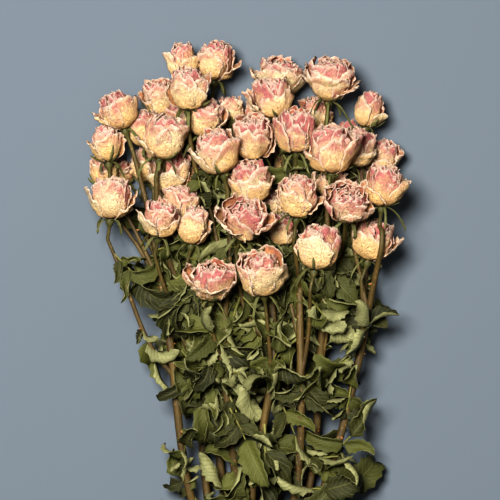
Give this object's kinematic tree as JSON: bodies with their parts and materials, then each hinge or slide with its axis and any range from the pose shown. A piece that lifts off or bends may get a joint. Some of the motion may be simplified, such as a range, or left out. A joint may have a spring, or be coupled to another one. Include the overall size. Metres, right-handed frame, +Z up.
{
  "type": "bunch of dried spray roses",
  "caption": "Lying bunch of dried spray roses: branched sprays with compound leaves, blooms with ruffled rims, and a rubber band round the stems.",
  "frame": {"origin": "middle of the bunch's box, on the surface that it lies on", "axes": "+Y along the stems from the cut ends to the blooms, +Z up from the surface, +X to the right seen from above with the blooms up"},
  "size_m": [0.2436, 0.5264, 0.1042],
  "materials": {
    "dried_petal": "matte, papery, cream with pink rims",
    "dried_stem_and_leaf": "matte, dull green leaves and olive brown stems",
    "band_rubber": "satin tan"
  },
  "bodies": {
    "root": {"bloom_01": "dried_petal", "bloom_02": "dried_petal", "bloom_03": "dried_petal", "bloom_04": "dried_petal", "bloom_05": "dried_petal", "bloom_06": "dried_petal", "bloom_07": "dried_petal", "bloom_08": "dried_petal", "bloom_09": "dried_petal", "bloom_10": "dried_petal", "bloom_11": "dried_petal", "bloom_12": "dried_petal", "bloom_13": "dried_petal", "bloom_14": "dried_petal", "bloom_15": "dried_petal", "bloom_16": "dried_petal", "bloom_17": "dried_petal", "bloom_18": "dried_petal", "bloom_19": "dried_petal", "bloom_20": "dried_petal", "bloom_21": "dried_petal", "bloom_22": "dried_petal", "bloom_23": "dried_petal", "bloom_24": "dried_petal", "bloom_25": "dried_petal", "bloom_26": "dried_petal", "bloom_27": "dried_petal", "bloom_28": "dried_petal", "bloom_29": "dried_petal", "bloom_30": "dried_petal", "bloom_31": "dried_petal", "bloom_32": "dried_petal", "bloom_33": "dried_petal", "bloom_34": "dried_petal", "bloom_35": "dried_petal", "bloom_36": "dried_petal", "bloom_37": "dried_petal", "bloom_38": "dried_petal", "bloom_39": "dried_petal", "bloom_40": "dried_petal", "bloom_41": "dried_petal", "bloom_42": "dried_petal", "bloom_43": "dried_petal", "bloom_44": "dried_petal", "bloom_45": "dried_petal", "bloom_46": "dried_petal", "bloom_47": "dried_petal", "bloom_48": "dried_petal", "spray_01": "dried_stem_and_leaf", "spray_02": "dried_stem_and_leaf", "spray_03": "dried_stem_and_leaf", "spray_04": "dried_stem_and_leaf", "spray_05": "dried_stem_and_leaf", "spray_06": "dried_stem_and_leaf", "spray_07": "dried_stem_and_leaf", "spray_08": "dried_stem_and_leaf", "spray_09": "dried_stem_and_leaf", "spray_10": "dried_stem_and_leaf", "band": "band_rubber"}
  },
  "joints": []
}
